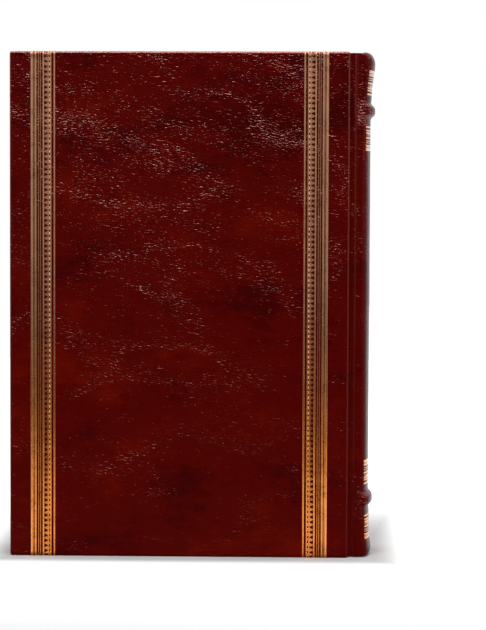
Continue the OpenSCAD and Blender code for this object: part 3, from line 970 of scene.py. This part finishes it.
plain = {
    "front_flyleaf": endpaper, "back_flyleaf": endpaper, "front_pastedown": endpaper, "back_pastedown": endpaper,
    "front_board": board, "back_board": board, "front_infill": board, "back_infill": board,
    "headband": silk, "tailband": silk, "spine_mull": mull, "spine_lining": board,
    "head_band_core": board, "tail_band_core": board,
}
for node, material in plain.items():
    solid = nodes[node]
    solid.data.materials.clear()
    solid.data.materials.append(material)


# stage, camera and light

stage = {
    "eye": (0.04945, -1.004, 0.15526), "yaw": -1.593, "pitch": 2.915, "roll": 0.219, "lens": 131.244,
    "floorGrey": 0.58, "floorGlow": 0.85, "floorFront": -0.75, "apron": 0.45,
    "lamps": [  # name, place, aim, width, height, watts, seen in polish
        ("overheadStrip", (0.03, 0.03, 1.0), (0.03, 0.03, 0), 1.0, 0.1, 3.0, True),
        ("grazingKey", (0.05, -0.5, 0.95), (0, 0, 0.15), 0.8, 0.22, 6.0, True),
        ("frontFill", (-0.35, -1.6, 0.32), (0, 0, 0.11), 1.2, 0.5, 7.5, False),
        ("spineFill", (1.3, -0.7, 0.5), (0.07, 0, 0.11), 0.6, 0.6, 4, False),
        ("backFill", (0.4, 1.7, 0.7), (0, 0, 0.11), 1.2, 0.6, 6, False)],
}


def makeCamera(values):
    yaw, pitch, lean = (math.radians(values[k]) for k in ("yaw", "pitch", "roll"))
    ahead = Vector((math.sin(yaw) * math.cos(pitch), math.cos(yaw) * math.cos(pitch), -math.sin(pitch)))
    right = Vector((math.cos(yaw), -math.sin(yaw), 0))
    up = right.cross(ahead)
    r = right * math.cos(lean) + up * math.sin(lean)
    u = up * math.cos(lean) - right * math.sin(lean)
    lens = bpy.data.cameras.new("camera")
    lens.sensor_fit = "VERTICAL"
    lens.sensor_height = 36
    lens.lens = values["lens"]
    lens.clip_start, lens.clip_end = 0.02, 20
    camera = addObject("camera", lens)
    turn = Matrix((r, u, -ahead)).transposed().to_4x4()
    camera.matrix_world = Matrix.Translation(values["eye"]) @ turn
    bpy.context.scene.camera = camera


def areaLight(name, place, aim, wide, tall, watts, inPolish):
    lamp = bpy.data.lights.new(name, "AREA")
    lamp.shape = "RECTANGLE"
    lamp.size, lamp.size_y = wide, tall
    lamp.energy = watts
    held = addObject(name, lamp)
    held.location = place
    held.rotation_euler = (Vector(aim) - Vector(place)).to_track_quat("-Z", "Y").to_euler()
    held.visible_glossy = inPolish


makeCamera(stage)
for lamp in stage["lamps"]:
    areaLight(*lamp)

floorMesh = bpy.data.meshes.new("tableTop")
front = stage["floorFront"]
floorMesh.from_pydata([(-2.4, front, 0), (2.4, front, 0), (2.4, 1.2, 0), (-2.4, 1.2, 0)], [], [(0, 1, 2, 3)])
addObject("tableTop", floorMesh)
tableWhite = bpy.data.materials.new("white_table")
tableWhite.use_nodes = True
tree = tableWhite.node_tree
tree.nodes.clear()
calc = partial(maths, tree)
rays = addNode(tree, "ShaderNodeLightPath").outputs
mirrored = calc("MAXIMUM", rays["Is Glossy Ray"], rays["Is Transmission Ray"])
spot = addNode(tree, "ShaderNodeSeparateXYZ", {0: addNode(tree, "ShaderNodeTexCoord").outputs["Object"]}).outputs
# painted shade: the table's colour darkens toward its front edge
grey = ranged(tree, spot["Y"], -0.6, -0.04, stage["floorGrey"] * 0.15, stage["floorGrey"])
matt = addNode(tree, "ShaderNodeBsdfDiffuse", {"Color": grey})
# the white grows to the sides and behind, so that the book keeps the shadow in front of it;
# a polished face sees the table darken toward its front edge, a shade painted into the table's colour
aside = calc("MULTIPLY", ranged(tree, spot["Y"], -0.12, -0.06), ranged(
    tree, calc("ABSOLUTE", spot["X"]), 0.079, 0.1))
away = calc("MAXIMUM", aside, ranged(tree, spot["Y"], 0.04, 0.2))
away = calc("MULTIPLY", away, stage["floorGlow"])
apron = calc("MULTIPLY", ranged(tree, spot["Y"], -0.036, -0.024, stage["apron"], 0), ranged(
    tree, spot["Y"], -0.35, -0.12))
near = calc("MAXIMUM", away, apron)
shown = calc("MAXIMUM", near, ranged(tree, spot["Y"], -0.3, -0.15, 1, 0))
glow = addNode(tree, "ShaderNodeEmission", {"Color": (1, 1, 1, 1), "Strength": calc(
    "MULTIPLY_ADD", mirrored, near, calc("MULTIPLY", rays["Is Camera Ray"], shown))})
both = addNode(tree, "ShaderNodeAddShader", {0: matt.outputs[0], 1: glow.outputs[0]})
addNode(tree, "ShaderNodeOutputMaterial", {"Surface": both.outputs[0]})
floorMesh.materials.append(tableWhite)

room = {
    # what a polished face sees round the table: level by height of the ray (its z)
    "bands": [(-0.2, 0.08), (-0.078, 0.2), (-0.02, 0.44), (0.01, 0.5), (0.06, 0.28), (0.3, 0.1), (0.5, 0.6),
              (0.75, 2.2)],
    "ambient": 0.35, "side": 0.5,
}
world = bpy.data.worlds.new("studio")
bpy.context.scene.world = world
world.use_nodes = True
tree = world.node_tree
tree.nodes.clear()
calc = partial(maths, tree)
rays = addNode(tree, "ShaderNodeLightPath").outputs
way = addNode(tree, "ShaderNodeTexCoord").outputs["Generated"]
axes = addNode(tree, "ShaderNodeSeparateXYZ", {0: way}).outputs
ramp = addNode(tree, "ShaderNodeValToRGB", {0: ranged(tree, axes["Z"], -1, 1, 0, 1, "LINEAR")})
for number, (z, grey) in enumerate(room["bands"]):
    stop = ramp.color_ramp.elements[number] if number < 2 else ramp.color_ramp.elements.new(0.5)
    stop.position = (z + 1) / 2
    stop.color = (grey, grey, grey, 1)
behind = ranged(tree, axes["Y"], 0.2, 0.5)
flank = ranged(tree, axes["X"], 0.35, 0.75, 0, room["side"])
reflected = calc("MAXIMUM", calc("MAXIMUM", behind, flank), ramp.outputs["Color"])
glossy = calc("MAXIMUM", rays["Is Glossy Ray"], rays["Is Transmission Ray"])
level = calc("MULTIPLY_ADD", glossy, calc("SUBTRACT", reflected, room["ambient"]), room["ambient"])
level = calc("MULTIPLY_ADD", rays["Is Camera Ray"], calc("SUBTRACT", 1.0, level), level)
sky = addNode(tree, "ShaderNodeBackground", {"Color": (1, 1, 1, 1), "Strength": level})
addNode(tree, "ShaderNodeOutputWorld", {"Surface": sky.outputs[0]})

bpy.context.scene.view_settings.view_transform = "Standard"

print("stage made")
